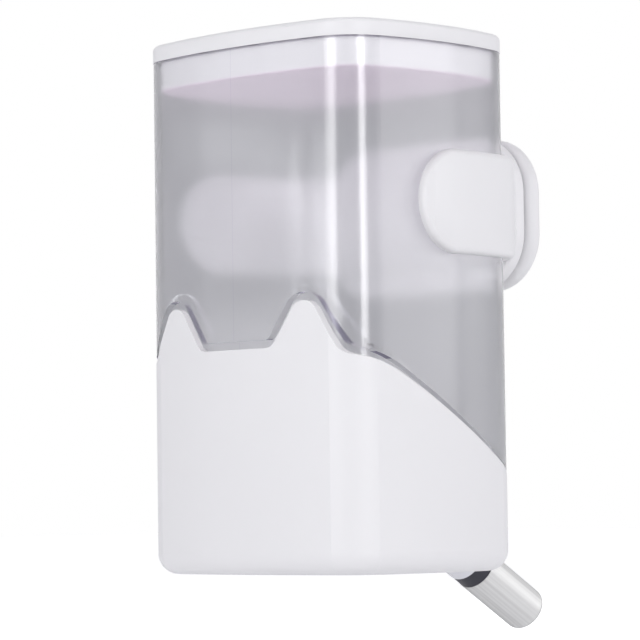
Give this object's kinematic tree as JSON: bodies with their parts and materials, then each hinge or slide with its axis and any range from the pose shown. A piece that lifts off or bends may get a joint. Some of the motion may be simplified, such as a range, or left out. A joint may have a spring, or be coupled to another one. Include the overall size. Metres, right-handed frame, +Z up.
{
  "type": "hanging pet waterer",
  "caption": "Clear top-filled water bottle in a white cat-ear shell with an angled steel ball nozzle, held in a U clip that clamps to cage wires.",
  "frame": {"origin": "middle of the clip's cage face, where the cage wires are clamped", "axes": "+Z up, +Y away from the bottle, through the cage wires towards the clamp knob; the cat-ear front faces -Y"},
  "size_m": [0.1096, 0.1362, 0.1879],
  "materials": {
    "bottle": "clear moulded plastic",
    "shell": "satin moulded white",
    "lid": "satin moulded white",
    "collar": "smooth moulded",
    "seal": "soft silicone",
    "nozzle_ring": "matte black rubber",
    "steel": "fine turned steel",
    "ball": "polished steel",
    "clip": "satin moulded white",
    "stud": "zinc-plated steel",
    "insert": "machined brass"
  },
  "bodies": {
    "clip": {"clip_bracket": "clip", "clamp_stud": "stud"},
    "tank": {"bottle": "bottle", "base_shell": "shell", "nozzle_collar": "collar", "collar_o_ring": "seal", "nozzle_ring": "nozzle_ring", "nozzle_tube": "steel"},
    "lid": {"lid_cover": "lid", "lid_liner": "lid"},
    "ball": {"valve_ball": "ball"},
    "jaw": {"clamp_plate": "clip", "clamp_washer": "stud", "retaining_ring": "stud"},
    "knob": {"clamp_knob": "clip", "knob_insert": "insert"}
  },
  "joints": [
    {"name": "bottle_pull", "type": "slide", "parent": "clip", "child": "tank", "axis": [0, -1, 0], "range_m": [0, 0.06]},
    {"name": "lid_lift", "type": "slide", "parent": "tank", "child": "lid", "axis": [0, 0, 1], "range_m": [0, 0.03]},
    {"name": "ball_push", "type": "slide", "parent": "tank", "child": "ball", "axis": [0, -0.8594, 0.5113], "range_m": [0, 0.003]},
    {"name": "jaw_slide", "type": "slide", "parent": "clip", "child": "jaw", "axis": [0, 1, 0], "range_m": [0, 0.005]},
    {"name": "knob_turn", "type": "hinge", "parent": "jaw", "child": "knob", "pos_m": [0, 0.02, 0], "axis": [0, 1, 0], "range_deg": [0, 1440]}
  ],
  "couplings": [
    {"joint": "knob_turn", "follows": "jaw_slide", "rad_per_m": 5026.5}
  ]
}
